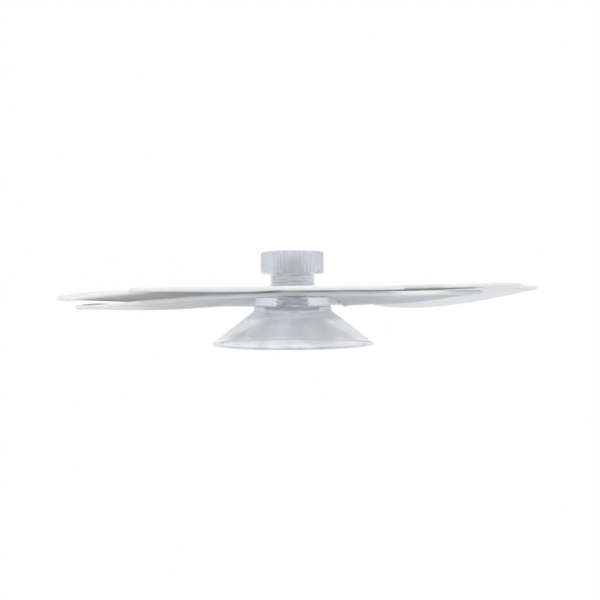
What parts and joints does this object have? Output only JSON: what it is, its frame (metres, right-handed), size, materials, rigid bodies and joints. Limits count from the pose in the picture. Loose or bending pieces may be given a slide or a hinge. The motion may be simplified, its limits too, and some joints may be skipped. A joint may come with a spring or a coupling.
{
  "type": "insect trap",
  "caption": "Flower-shaped insect trap: thin petal sheets held on a clear suction cup's threaded stud by a knurled thumb nut.",
  "frame": {"origin": "middle of the suction cup's rim plane, on the stud's axis", "axes": "+Z along the stud from the cup to the thumb nut, +X towards the longest petal, -Y towards a viewer who looks at the side with the low left lobe"},
  "size_m": [0.1208, 0.1148, 0.023],
  "materials": {
    "clear_vinyl": "soft clear PVC, glossy",
    "clear_plastic": "rigid clear plastic, glossy",
    "frosted_plastic": "translucent rigid plastic, satin",
    "petal_plastic": "off-white thin sheet, satin"
  },
  "bodies": {
    "cup": {"suction_cup": "clear_vinyl", "threaded_stud": "clear_plastic"},
    "lower_flower": {"lower_petal_sheet": "petal_plastic"},
    "upper_flower": {"upper_petal_sheet": "petal_plastic"},
    "nut": {"thumb_nut": "frosted_plastic"}
  },
  "joints": [
    {"name": "flower_turn", "type": "hinge", "parent": "cup", "child": "lower_flower", "pos_m": [0, 0, 0.013], "axis": [0, 0, 1], "continuous": true},
    {"name": "flower_lift", "type": "slide", "parent": "lower_flower", "child": "upper_flower", "axis": [0, 0, 1], "range_m": [0, 0.0072]},
    {"name": "nut_turn", "type": "hinge", "parent": "upper_flower", "child": "nut", "pos_m": [0, 0, 0.017], "axis": [0, 0, 1], "range_deg": [0, 3240]}
  ],
  "couplings": [
    {"joint": "nut_turn", "follows": "flower_lift", "rad_per_m": 7854}
  ]
}
